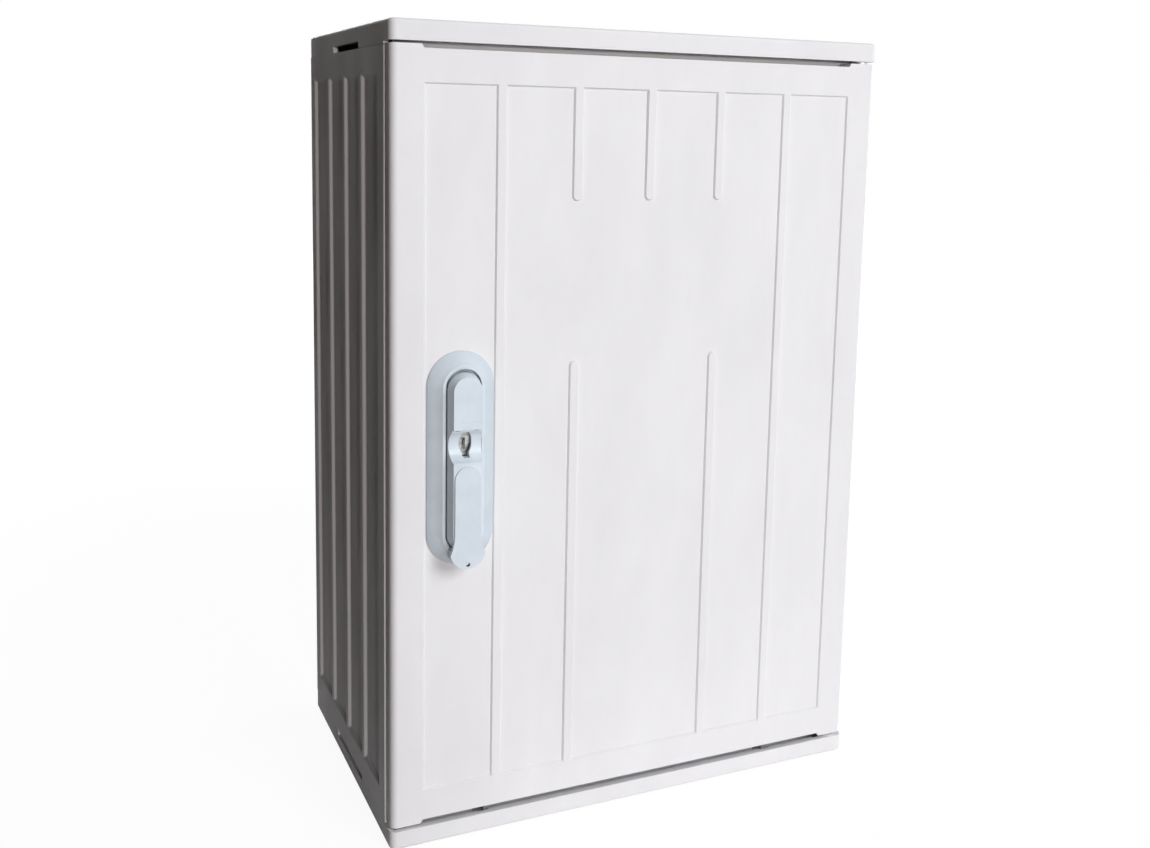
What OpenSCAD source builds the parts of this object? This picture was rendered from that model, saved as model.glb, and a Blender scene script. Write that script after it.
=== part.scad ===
// Outdoor meter cabinet pressed from glass-fibre polyester: ribbed walls, a
// hinged door on pivot pins and a swing handle that drives two lock rods.
// Frame: origin at the middle of the base underside, +X right, -Y front, +Z up.

/* [Casing] */
// Overall width across the side walls
case_w = 400; // [370:1:460]
// Overall depth from the roof front to the back wall
case_d = 250; // [220:1:320]
// Overall height from the base underside to the roof top
case_h = 600; // [560:1:720]
// Thickness of the pressed walls
wall = 4; // [3:0.5:5]
// Height of the roof and base skirts along the sides and back
skirt_h = 17; // [16.5:0.5:24]
// Height of the roof and base skirts along the front
front_skirt_h = 14.5; // [12:0.5:15]
// Radius of the vertical corners of the roof and base
corner_r = 5.5; // [4:0.5:8]
// Radius of the outer rim edges of the roof and base
edge_r = 3; // [1:0.5:3.5]
// Thickness of the base floor and the roof top
floor_t = 5; // [4:0.5:6]
// Height of the relief between the corner feet
foot_relief = 1.2; // [0.5:0.1:2]
// Width of each corner foot
foot_w = 25; // [22:1:40]
// Length of the vent slots between side walls and trays
vent_len = 80; // [50:1:120]
// Height of the vent slots
vent_h = 5; // [4.5:0.5:6]

/* [Pressed relief] */
// Width of one flute in the side and back walls
flute_w = 45; // [35:1:60]
// Width of the ribs between flutes
flute_rib_w = 7; // [5:0.5:10]
// Depth of the flutes
flute_depth = 2.5; // [1.5:0.1:3]
// Plain border above and below the flutes
flute_margin = 18.5; // [14:0.5:30]
// Depth of the door field below its border
field_depth = 1.5; // [1:0.1:2]
// Sideways run of the sloped steps on the door
field_draft = 1.1; // [0.3:0.1:1.4]
// Plain border of the door beside its field
field_side = 24; // [20:0.5:32]
// Plain border of the door above and below its field
field_end = 25.7; // [20:0.1:34]
// Width of the door ribs
rib_w = 6; // [5:0.5:9]
// Width of the lock bay between the field's edge and the outer rib
lock_bay = 57; // [56.5:0.5:62]
// Length of the three short ribs at the top
short_rib = 81; // [50:1:110]
// Length of the two ribs that rise from the bottom
long_rib = 315; // [240:1:340]

/* [Door] */
// Depth of the door from its face to its back rim
door_depth = 13.5; // [12.5:0.5:15]
// Setback of the door face behind the roof front
door_setback = 2; // [1:0.5:3]
// Gap between the door and the front skirts
door_gap = 1.8; // [1.5:0.1:3]
// Inset of the door edges from the side walls
door_inset = 1; // [0.5:0.1:2]
// Gap between the door's back rim and the side walls
rim_gap = 0.5; // [0.3:0.1:1]
// Thickness of the door's pressed field
door_wall = 3.5; // [3:0.5:4]
// Radius of the door's latch-side front edge
door_edge_r = 5.5; // [4:0.5:7]
// Radius of the rounded hinge-side edge about the pivot
barrel_r = 9; // [8:0.5:9]
// Depth of the vent notches in the door's top and bottom edges
notch_h = 2.7; // [2:0.1:3.5]
// Radius of the pivot pins
pin_r = 3; // [2.5:0.1:3.5]
// Length of each pivot pin inside the door
pin_reach = 16; // [12:1:20]
// Radial running clearance of the pivots
run_gap = 0.05; // [0.02:0.01:0.1]

/* [Lock] */
// Width of the escutcheon
plate_w = 50.4; // [48:0.1:52]
// Distance between the centres of the escutcheon's round ends
plate_span = 107.3; // [104:0.1:110]
// Height of the escutcheon's upper round centre above the spindle
plate_rise = 1.5; // [0:0.1:2]
// Height of the spindle above the base
spindle_z = 344; // [320:1:360]
// Height of the escutcheon's lip
lip_h = 9; // [8.5:0.5:10]
// Width of the slot in the escutcheon
slot_w = 26.6; // [26:0.1:27.5]
// Gap between the handle's underside and the lip
handle_gap = 0.5; // [0.4:0.1:1]
// Width of the handle at its underside
handle_w = 25.4; // [24.5:0.1:25.4]
// Width of the handle at its front
handle_top_w = 21.3; // [20:0.1:22]
// Thickness of the handle's body
handle_t = 9; // [8.5:0.5:10]
// Height of the finger pad above the handle's body
pad_h = 1.5; // [1:0.5:3]
// Width of the finger pad
pad_w = 19.6; // [18:0.1:20]
// Length from the spindle to the pad's tip
handle_reach = 128.6; // [126:0.1:131]
// Length of the sliding cover below the spindle
cover_len = 27.5; // [26:0.5:29]
// Thickness of the sliding cover
cover_t = 2.5; // [2.4:0.1:3]
// Length of the finger scoop in front of the key cylinder
scoop_len = 23.5; // [22:0.5:24.5]
// Width of the oval key opening in the scoop
key_gap_w = 9.7; // [8:0.1:11]
// Height of the oval key opening in the scoop
key_gap_h = 16.8; // [15:0.1:17.5]
// Width of the notch below the key opening
key_notch_w = 5.2; // [5.2:0.1:6]
// Reach of the notch below the key opening
key_notch = 2.2; // [1.5:0.1:2.5]
// Distance of the key cylinder below the spindle
cylinder_drop = 39.5; // [39:0.5:40]
// Height of the key cylinder's face above the door field
cylinder_face = 7.5; // [5:0.5:7.5]
// Length of the key cylinder
cylinder_len = 31; // [28:1:36]
// Teeth of the rod pinion
pinion_teeth = 16; // [16:2:16]
// Tooth module of the pinion and racks
gear_module = 1; // [1:0.05:1.05]
// Backlash taken off each tooth
backlash = 0.16; // [0.1:0.02:0.3]
// Width of the lock rods
rod_w = 5.7; // [5:0.1:6]
// Thickness of the lock rods
rod_t = 4; // [3:0.5:4.5]
// Sliding clearance round the rods
rod_gap = 0.35; // [0.2:0.05:0.6]

/* [Inside] */
// Gap between the meter board and the side faces
board_side = 35; // [32:1:60]
// Gap between the meter board and the cabinet's top and bottom
board_end = 65; // [55:1:90]
// Spacing of the meter slots in the board
slot_pitch = 65; // [50:1:75]
// Length of a meter slot
slot_len = 70; // [50:1:90]
// Width of a meter slot
slot_wide = 6; // [5:0.5:8]
// Height of the middle meter slot above the board's centre
slot_rise = 150; // [120:1:160]
// Height of the outer meter slots above the board's centre
slot_low = 20; // [0:1:40]
// Thickness of the meter board
board_t = 6; // [4:0.5:8]
// Distance between the two mounting rails
rail_spacing = 260; // [180:1:320]
// Height of a mounting rail's section
rail_h = 30; // [26:1:36]
// Depth of a mounting rail's section
rail_d = 15; // [12:1:20]
// Sheet thickness of the rails
rail_t = 2; // [1.5:0.5:2.5]
// Width of the cable window in the base floor
window_w = 240; // [200:1:260]
// Depth of the cable window in the base floor
window_d = 90; // [70:1:100]
// Spacing of the cable grommets
grommet_pitch = 75; // [60:1:80]
// Radius of the cable hole in a grommet
cable_r = 11; // [8:0.5:13]

/* [Fixings] */
// Shank radius of the casing screws
screw_r = 2; // [1.5:0.1:2.5]
// Head radius of the casing screws
head_r = 4; // [3.5:0.1:4.5]
// Shank radius of the small lock screws
small_screw_r = 1.5; // [1.2:0.1:1.8]
// Head radius of the small lock screws
small_head_r = 2.6; // [2.2:0.1:2.8]
// Radius of the foundation and wall bolt holes
bolt_r = 4.5; // [3.5:0.5:5.5]
// Distance of the foundation bolts from the side faces
bolt_side = 13; // [12:0.5:16]
// Distance of the foundation bolts from the front and back
bolt_end = 20; // [18:0.5:26]
// Distance of the wall bolts from the side faces
wall_bolt_side = 60; // [50:1:80]
// Distance of the wall bolts from the back wall's ends
wall_bolt_end = 16; // [14:0.5:18]

/* [Hidden] */
$fn = 48;
eps = 0.01;
skin = 1;
touch_gap = 0.1;
casing_colour = [0.87, 0.86, 0.86];
lock_colour = [0.80, 0.84, 0.88];
nickel_colour = [0.72, 0.72, 0.70];
zinc_colour = [0.66, 0.68, 0.70];
board_colour = [0.80, 0.80, 0.77];
rubber_colour = [0.16, 0.16, 0.17];

half_w = case_w / 2;
half_d = case_d / 2;
roof_seam = case_h - skirt_h;

// Door
face_y = -half_d + door_setback;
back_y = face_y + door_depth;
wall_front_y = back_y + rim_gap;
door_half = half_w - door_inset;
door_low = front_skirt_h + door_gap;
door_high = case_h - door_low;
door_h = door_high - door_low;
field_y = face_y + field_depth;
inner_y = field_y + door_wall;
field_half = door_half - field_side;
field_low = door_low + field_end;
field_high = door_high - field_end;
rib_pitch = (field_half - lock_bay) / 2;
barrel_depth = 6;
hinge_x = door_half - barrel_r;
door_cut = field_depth + door_wall + 2 * skin;
hinge_y = face_y + barrel_depth;
return_t = 4;
edge_wall = return_t + notch_h;
notch_slant = 0.6;
boss_len = 24;
lug_r = 7;
lug_clear = 1.3;
collar_r = 5.5;

// Casing details
bolt_x = case_w - 2 * bolt_side;
bolt_y = case_d - 2 * bolt_end;
wall_bolt_x = case_w - 2 * wall_bolt_side;
flange_w = 20;
tongue_t = 3;
tongue_h = skirt_h - floor_t - touch_gap;
tongue_len = 46;
tongue_gap = 10;
lintel_gap = 2.5;
lintel_t = 4;
lintel_drop = 28;
keeper_clear = 0.5;
ledge_drop = 1.5;
drain_w = 9;
drain_inset = 49;
drain_x = field_half - drain_inset;
screw_head_h = 2.6;
screw_grip = 3;
wall_screw_count = 4;
wall_screw_end = 42;
back_margin = 34;

// Lock, in a frame with X right, Y up and Z out of the door field
plate_r = plate_w / 2;
slot_r = slot_w / 2;
plate_gap = 0.2;
lock_x = -field_half + lock_bay - rib_w / 2 - field_draft - plate_gap - plate_r;
plate_edge_h = 1.5;
plate_floor = 1.5;
handle_low = lip_h + handle_gap;
handle_high = handle_low + handle_t;
pad_high = handle_high + pad_h;
handle_r = handle_w / 2;
handle_top_r = handle_top_w / 2;
body_end = -handle_reach + 23.5;
scoop_top = -cover_len;
scoop_low = scoop_top - scoop_len;
scoop_mid = (scoop_top + scoop_low) / 2;
scoop_depth = 7.5;
scoop_r = (pow(scoop_len / 2, 2) + pow(scoop_depth, 2)) / (2 * scoop_depth);
key_gap_rise = 1.7;
cover_z = handle_high - cover_t;
cover_gap = 0.1;
pivot_z = handle_low + 2.1;
pivot_r = 1.5;
tongue_r = 2.8;
tongue_w = 5.2;
tongue_half = 4.5;
pocket_half = 5.5;
spindle_r = 7.5;
spindle_top = 4;
tail_r = 4;
square_w = 8;

// Rods and gear
pitch_r = gear_module * pinion_teeth / 2;
tooth_pitch = PI * gear_module;
pressure = 20;
addendum = 0.9 * gear_module;
dedendum = 1.25 * gear_module;
rod_in = pitch_r + dedendum;
rod_out = rod_in + rod_w;
rod_throw = pitch_r * PI / 2;
case_front = -door_wall;
case_plate_t = 1.5;
rod_front = case_front - case_plate_t - 0.5;
rod_back = rod_front - rod_t;
rod_tip_gap = 2.2;
rod_tail = rod_throw + 6.5;
upper_tip = door_high - rod_tip_gap - spindle_z;
lower_tip = door_low + rod_tip_gap - spindle_z;
rod_y = field_y - rod_front;

// Lock case
case_wall = 2.5;
case_room = 1;
case_half = rod_out + rod_gap + case_room + case_wall;
case_high = 30;
case_low = -72;
case_back = rod_back - 4.5;
cover_plate_t = 2;
case_screw_x = case_half + small_head_r + touch_gap;
case_screw_top = -12;
case_screw_low = -60;
case_screw_y = [case_screw_top, case_screw_low];
case_flange = case_screw_x + small_head_r + 0.9;
cover_screw_in = 5.5;
cover_screw_x = case_half - cover_screw_in;
cover_screws = [[-cover_screw_x, case_high - cover_screw_in], [cover_screw_x, case_low + cover_screw_in]];
small_head_h = 2;
guide_half = 7;
guide_ear = 6.5;
guide_wall = 2.5;
guide_inset = 40;

// Key cylinder
core_r = 8.5;
web_w = 10;
web_drop = 24.5;
plug_r = 6.5;
cam_len = 8;
cam_reach = 13;
fit_gap = 0.15;
clear_gap = 0.4;

// Inside
pad_y = half_d - wall - flute_depth;
rail_back_y = pad_y;
board_y = rail_back_y - rail_d;
mid_z = case_h / 2;
board_w = case_w - 2 * board_side;
board_h = case_h - 2 * board_end;
rail_z = [mid_z - rail_spacing / 2, mid_z + rail_spacing / 2];
rail_half = board_w / 2 + 8;
rail_slot = 12;
rail_screw_x = rail_half - 25;
board_screw_x = board_w / 2 - 15;
window_y = 40;
plate_lap = 12;
cable_plate_t = 3;
grommet_hole_r = cable_r + 7;

// Block with four sloped sides, w0 by h0 at the bottom and w1 by h1 at the top
module frustum(w0, h0, w1, h1, depth) {
    intersection() {
        rotate([90, 0, 0])
            linear_extrude(max(h0, h1), center = true)
                polygon([[-w0 / 2, 0], [w0 / 2, 0], [w1 / 2, depth], [-w1 / 2, depth]]);
        rotate([90, 0, 90])
            linear_extrude(max(w0, w1), center = true)
                polygon([[-h0 / 2, 0], [h0 / 2, 0], [h1 / 2, depth], [-h1 / 2, depth]]);
    }
}

// Drafted pocket that opens on the plane Z = 0
module pocket(w, h, depth, draft) {
    grow = draft * skin / depth;
    translate([0, 0, -depth])
        frustum(w - 2 * draft, h - 2 * draft, w + 2 * grow, h + 2 * grow, depth + skin);
}

// Face frames: X right, Y up and Z out of the casing
module front_frame(y) translate([0, y, 0]) rotate([90, 0, 0]) children();
module left_frame() translate([-half_w, 0, 0]) rotate([0, 0, -90]) rotate([90, 0, 0]) children();
module back_frame() translate([0, half_d, 0]) rotate([0, 0, 180]) rotate([90, 0, 0]) children();
module lock_frame() translate([lock_x, field_y, spindle_z]) rotate([90, 0, 0]) children();

// Box between two corners
module span(low, high) translate(low) cube(high - low);

// Pan head screw along Z with its seat at Z = 0
module screw(shank, length, head, head_h) {
    translate([0, 0, -length])
        cylinder(h = length + eps, r = shank);
    difference() {
        cylinder(h = head_h, r = head);
        translate([0, 0, head_h / 2])
            cylinder(h = head_h, r = head * 0.5, $fn = 6);
    }
}

// Plain slab with round vertical corners and one rounded rim, rim at Z = 0
module tray_block(w, d, h) {
    module section(width) {
        translate([-width / 2 + edge_r, 0])
            square([width - 2 * edge_r, h]);
        translate([-width / 2, edge_r])
            square([width, h - edge_r]);
        for (s = [-1, 1])
            translate([s * (width / 2 - edge_r), edge_r])
                circle(edge_r);
    }
    rotate([90, 0, 0])
        linear_extrude(d - 2 * corner_r, center = true)
            section(w);
    rotate([90, 0, 90])
        linear_extrude(w - 2 * corner_r, center = true)
            section(d);
    for (x = [-1, 1], y = [-1, 1])
        translate([x * (w / 2 - corner_r), y * (d / 2 - corner_r), 0])
            rotate_extrude()
                intersection() {
                    section(2 * corner_r);
                    square([corner_r, h]);
                }
}

// Tray that closes the casing: rim down at Z = 0, skirts rising
module tray(drains) {
    difference() {
        union() {
            difference() {
                tray_block(case_w, case_d, skirt_h);
                span([-half_w + wall, -half_d + wall, floor_t],
                    [half_w - wall, half_d - wall, skirt_h + skin]);
                span([-half_w - skin, -half_d - skin, front_skirt_h],
                    [half_w + skin, wall_front_y, skirt_h + skin]);
                for (s = [-1, 1])
                    translate([s * half_w, 0, skirt_h])
                        cube([4 * wall, vent_len, 2 * vent_h], center = true);
            }
            // Upstand behind the door
            span([-half_w + wall - eps, wall_front_y + lintel_gap, floor_t - eps],
                [half_w - wall + eps, wall_front_y + lintel_gap + lintel_t, lintel_drop]);
            // Keeper ledge behind the front skirt
            span([-field_half, -half_d + wall - eps, floor_t - eps],
                [field_half, rod_y - keeper_clear - eps, front_skirt_h - ledge_drop]);
            // Pivot lug
            translate([hinge_x, hinge_y, floor_t - eps])
                cylinder(h = door_low - lug_clear - floor_t + eps, r = lug_r);
        }
        // Drain gaps in the ledge and the upstand
        for (s = drains)
            span([s * drain_x - drain_w / 2, -half_d + wall, floor_t],
                [s * drain_x + drain_w / 2, wall_front_y + 2 * lintel_gap + lintel_t, lintel_drop + skin]);
        // Corner clearance for the side walls and their tongues
        for (s = [0, 1])
            mirror([s, 0, 0])
                span([-half_w + wall, wall_front_y, floor_t],
                    [-half_w + wall + tongue_t + clear_gap, half_d - wall, lintel_drop + skin]);
        translate([hinge_x, hinge_y, floor_t - wall / 2])
            cylinder(h = skirt_h, r = pin_r);
        for (x = [-1, 1], y = tongue_mid())
            translate([x * (half_w - wall), y, tray_screw_z()])
                rotate([0, 90, 0])
                    cylinder(h = 2 * screw_grip, r = screw_r, center = true);
    }
}

function tongue_mid() = [for (s = [-1, 1]) s * (vent_len / 2 + tongue_gap + tongue_len / 2)];
function tray_screw_z() = skirt_h - tongue_h / 2;

module roof() {
    color(casing_colour)
        translate([0, 0, case_h])
            mirror([0, 0, 1])
                tray([]);
}

module base() {
    color(casing_colour)
        difference() {
            tray([-1, 1]);
            span([-half_w + foot_w, -half_d - skin, -skin], [half_w - foot_w, half_d + skin, foot_relief]);
            span([-half_w - skin, -bolt_y / 2 + foot_w / 2, -skin],
                [half_w + skin, bolt_y / 2 - foot_w / 2, foot_relief]);
            for (x = [-1, 1], y = [-1, 1])
                translate([x * bolt_x / 2, y * bolt_y / 2, -skin])
                    cylinder(h = floor_t + 2 * skin, r = bolt_r);
            translate([0, window_y, 0])
                cube([window_w, window_d, 4 * floor_t], center = true);
            for (p = plate_screws())
                translate([p[0], p[1], floor_t - screw_grip])
                    cylinder(h = floor_t, r = screw_r);
        }
}

// Left wall with its flutes, rear flange and the tongues inside the trays
module side_wall() {
    length = half_d - wall_front_y;
    mid = (half_d + wall_front_y) / 2;
    count = floor((length - 30 + flute_rib_w) / (flute_w + flute_rib_w));
    field = count * flute_w + (count - 1) * flute_rib_w;
    flute_h = roof_seam - skirt_h - 2 * flute_margin;
    difference() {
        union() {
            translate([0, 0, skirt_h])
                linear_extrude(roof_seam - skirt_h)
                    wall_section();
            span([-half_w + wall - eps, mid - field / 2 - 2, skirt_h + flute_margin - 2],
                [-half_w + wall + flute_depth, mid + field / 2 + 2, roof_seam - flute_margin + 2]);
            for (y = tongue_mid(), z = [skirt_h - tongue_h, roof_seam - tongue_h])
                span([-half_w + wall, y - tongue_len / 2, z],
                    [-half_w + wall + tongue_t, y + tongue_len / 2, z + 2 * tongue_h]);
        }
        left_frame()
            for (i = [0 : count - 1])
                translate([-mid - field / 2 + flute_w / 2 + i * (flute_w + flute_rib_w), case_h / 2, 0])
                    pocket(flute_w, flute_h, flute_depth, flute_depth);
        for (z = wall_screw_z())
            translate([-half_w + wall + flange_w / 2, half_d - wall + eps, z])
                rotate([90, 0, 0])
                    cylinder(h = 2 * wall, r = screw_r);
        for (y = tongue_mid(), z = [tray_screw_z(), case_h - tray_screw_z()])
            translate([-half_w + wall, y, z])
                rotate([0, 90, 0])
                    cylinder(h = 4 * tongue_t, r = screw_r + fit_gap, center = true);
    }
}

// Plan of a side wall: round rear corner and a flange behind the back wall's edge
module wall_section() {
    translate([-half_w, wall_front_y])
        square([wall, half_d - wall_front_y - wall]);
    translate([-half_w, half_d - 2 * wall])
        square([wall + flange_w, wall]);
    intersection() {
        translate([-half_w, half_d - wall - eps])
            square([wall, wall + eps]);
        translate([-half_w + wall, half_d - wall])
            circle(wall);
    }
}

function wall_screw_z() =
    [for (i = [0 : wall_screw_count - 1])
        skirt_h + wall_screw_end + i * (roof_seam - skirt_h - 2 * wall_screw_end) / (wall_screw_count - 1)];

module left_side() color(casing_colour) side_wall();

module right_side() color(casing_colour) mirror([1, 0, 0]) side_wall();

module back_wall() {
    width = case_w - 2 * wall;
    height = roof_seam - skirt_h;
    inner = width - 2 * flange_w - 2 * touch_gap;
    count = floor((inner - 16 + flute_rib_w) / (flute_w + flute_rib_w));
    field = count * flute_w + (count - 1) * flute_rib_w;
    color(casing_colour)
        difference() {
            union() {
                span([-width / 2, half_d - wall, skirt_h], [width / 2, half_d, roof_seam]);
                span([-inner / 2, pad_y, skirt_h + back_margin - 2],
                    [inner / 2, half_d - wall + eps, roof_seam - back_margin + 2]);
            }
            back_frame()
                for (i = [0 : count - 1])
                    translate([-field / 2 + flute_w / 2 + i * (flute_w + flute_rib_w), case_h / 2, 0])
                        pocket(flute_w, height - 2 * back_margin, flute_depth, flute_depth);
            for (x = [-1, 1], z = wall_screw_z())
                translate([x * (half_w - wall - flange_w / 2), half_d + skin, z])
                    rotate([90, 0, 0])
                        cylinder(h = 2 * wall, r = screw_r + fit_gap);
            for (x = [-1, 1], z = [skirt_h + wall_bolt_end, roof_seam - wall_bolt_end])
                translate([x * wall_bolt_x / 2, half_d + skin, z])
                    rotate([90, 0, 0])
                        cylinder(h = wall + 2 * skin, r = bolt_r);
            for (x = [-1, 1], z = rail_z)
                translate([x * rail_screw_x, pad_y + screw_grip, z])
                    rotate([90, 0, 0])
                        cylinder(h = 2 * screw_grip, r = screw_r);
        }
}

module wall_screws() {
    color(zinc_colour)
        for (x = [-1, 1], z = wall_screw_z())
            translate([x * (half_w - wall - flange_w / 2), half_d, z])
                rotate([-90, 0, 0])
                    screw(screw_r, 2 * wall, head_r, screw_head_h);
}

// Four screws that tie the wall tongues to one tray
module tray_screws(z) {
    for (x = [-1, 1], y = tongue_mid())
        translate([x * (half_w - wall - tongue_t), y, z])
            rotate([0, -90 * x, 0])
                screw(screw_r, tongue_t + screw_grip, head_r, screw_head_h);
}

module roof_screws() color(zinc_colour) tray_screws(case_h - tray_screw_z());

module base_screws() color(zinc_colour) tray_screws(tray_screw_z());

// Pivot pin with a collar, standing in the base lug
module pivot_pin() {
    low = floor_t - wall / 2;
    translate([hinge_x, hinge_y, low])
        cylinder(h = door_low + pin_reach - low, r = pin_r);
    translate([hinge_x, hinge_y, door_low - lug_clear])
        cylinder(h = lug_clear - touch_gap, r = collar_r);
}

module lower_hinge_pin() color(zinc_colour) pivot_pin();

module upper_hinge_pin() {
    color(zinc_colour)
        translate([0, 0, case_h])
            mirror([0, 0, 1])
                pivot_pin();
}

// Channel rail with its lips towards the door
module rail(z) {
    lip = (rail_h - rail_slot) / 2;
    difference() {
        span([-rail_half, board_y, z - rail_h / 2], [rail_half, rail_back_y, z + rail_h / 2]);
        span([-rail_half - skin, board_y + rail_t, z - rail_h / 2 + rail_t],
            [rail_half + skin, rail_back_y - rail_t, z + rail_h / 2 - rail_t]);
        span([-rail_half - skin, board_y - skin, z - rail_h / 2 + lip],
            [rail_half + skin, board_y + 2 * rail_t, z + rail_h / 2 - lip]);
        for (x = [-1, 1])
            translate([x * rail_screw_x, rail_back_y + skin, z])
                rotate([90, 0, 0])
                    cylinder(h = 2 * rail_t, r = screw_r + fit_gap);
    }
}

module upper_rail() color(zinc_colour) rail(rail_z[1]);

module lower_rail() color(zinc_colour) rail(rail_z[0]);

module rail_screws() {
    color(zinc_colour)
        for (x = [-1, 1], z = rail_z)
            translate([x * rail_screw_x, rail_back_y - rail_t, z])
                rotate([90, 0, 0])
                    screw(screw_r, rail_t + screw_grip, head_r, screw_head_h);
}

// Board with three long slots for a meter and a row of holes for devices
module meter_board() {
    slot_half = slot_wide / 2;
    color(board_colour)
        difference() {
            span([-board_w / 2, board_y - board_t, mid_z - board_h / 2],
                [board_w / 2, board_y, mid_z + board_h / 2]);
            for (x = [-1, 0, 1])
                translate([x * slot_pitch, board_y + skin, mid_z + (x == 0 ? slot_rise : slot_low)])
                    rotate([90, 0, 0])
                        linear_extrude(board_t + 2 * skin)
                            for (s = [-1, 1]) {
                                translate([0, s * slot_len / 2])
                                    circle(slot_half);
                                translate([-slot_half, -slot_len / 2])
                                    square([2 * slot_half, slot_len]);
                            }
            for (x = [-1, 1], z = rail_z)
                translate([x * board_screw_x, board_y + skin, z])
                    rotate([90, 0, 0])
                        cylinder(h = board_t + 2 * skin, r = screw_r + fit_gap);
        }
}

// Board screws with their square nuts inside the rails
module board_screws() {
    nut = 9;
    color(zinc_colour)
        for (x = [-1, 1], z = rail_z)
            translate([x * board_screw_x, board_y - board_t, z])
                rotate([90, 0, 0]) {
                    screw(screw_r, board_t + 3 * rail_t, head_r, screw_head_h);
                    translate([0, 0, -board_t - 1.75 * rail_t])
                        cube([nut, 2 * nut, 1.5 * rail_t], center = true);
                }
}

function plate_screws() =
    [for (x = [-1, 1], y = [-1, 1])
        [x * (window_w + plate_lap) / 2, window_y + y * (window_d / 2 - 10)]];

function grommet_x() = [-grommet_pitch, 0, grommet_pitch];

module cable_plate() {
    color(casing_colour)
        difference() {
            translate([0, window_y, floor_t + cable_plate_t / 2])
                cube([window_w + 2 * plate_lap, window_d + 2 * plate_lap, cable_plate_t], center = true);
            for (x = grommet_x())
                translate([x, window_y, floor_t - skin])
                    cylinder(h = cable_plate_t + 2 * skin, r = grommet_hole_r);
            for (p = plate_screws())
                translate([p[0], p[1], floor_t - skin])
                    cylinder(h = cable_plate_t + 2 * skin, r = screw_r + fit_gap);
        }
}

// Rubber grommets that clip over the plate's edge
module cable_grommets() {
    lip = 3;
    lip_t = 2;
    color(rubber_colour)
        for (x = grommet_x())
            translate([x, window_y, floor_t])
                rotate_extrude()
                    polygon([[cable_r, -lip_t], [grommet_hole_r + lip, -lip_t], [grommet_hole_r + lip, 0],
                        [grommet_hole_r, 0], [grommet_hole_r, cable_plate_t],
                        [grommet_hole_r + lip, cable_plate_t], [grommet_hole_r + lip, cable_plate_t + lip_t],
                        [cable_r + 2, cable_plate_t + 2 * lip_t], [cable_r, cable_plate_t + 2 * lip_t]]);
}

module cable_plate_screws() {
    color(zinc_colour)
        for (p = plate_screws())
            translate([p[0], p[1], floor_t + cable_plate_t])
                screw(screw_r, cable_plate_t + screw_grip, head_r, screw_head_h);
}

// Plan of the door: round latch edge, barrel edge about the pivot
module door_section() {
    translate([-door_half + door_edge_r, face_y])
        square([door_half - door_edge_r + hinge_x, door_depth]);
    translate([-door_half, face_y + door_edge_r])
        square([2 * door_edge_r, door_depth - door_edge_r]);
    translate([-door_half + door_edge_r, face_y + door_edge_r])
        circle(door_edge_r);
    intersection() {
        translate([hinge_x, hinge_y])
            circle(barrel_r);
        translate([hinge_x - barrel_r, face_y])
            square([2 * barrel_r, door_depth]);
    }
}

// Drafted rib on the door field, from one field end to a free round end
module door_rib(x, from, to) {
    half = rib_w / 2;
    front_frame(field_y) {
        translate([x, max(from, to), 0])
            rotate([90, 0, 0])
                linear_extrude(abs(to - from))
                    polygon([[-half - field_draft, -eps], [half + field_draft, -eps],
                        [half, field_depth], [-half, field_depth]]);
        translate([x, to, -eps])
            cylinder(h = field_depth + eps, r1 = half + field_draft, r2 = half);
    }
}

// Groove pressed into the back of a rib
module rib_groove(x, low, high) {
    half = rib_w / 2 - 1.5;
    translate([x - half, inner_y - field_depth, low])
        cube([2 * half, field_depth + skin, high - low]);
}

// Notch with slanted ends in an edge of the door at Z = 0
module vent_notch() {
    run = notch_slant * (notch_h + skin);
    translate([0, back_y + skin, 0])
        rotate([90, 0, 0])
            linear_extrude(door_depth + 2 * skin)
                polygon([[-field_half - run, -skin], [field_half + run, -skin],
                    [field_half, notch_h], [-field_half, notch_h]]);
}

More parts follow.
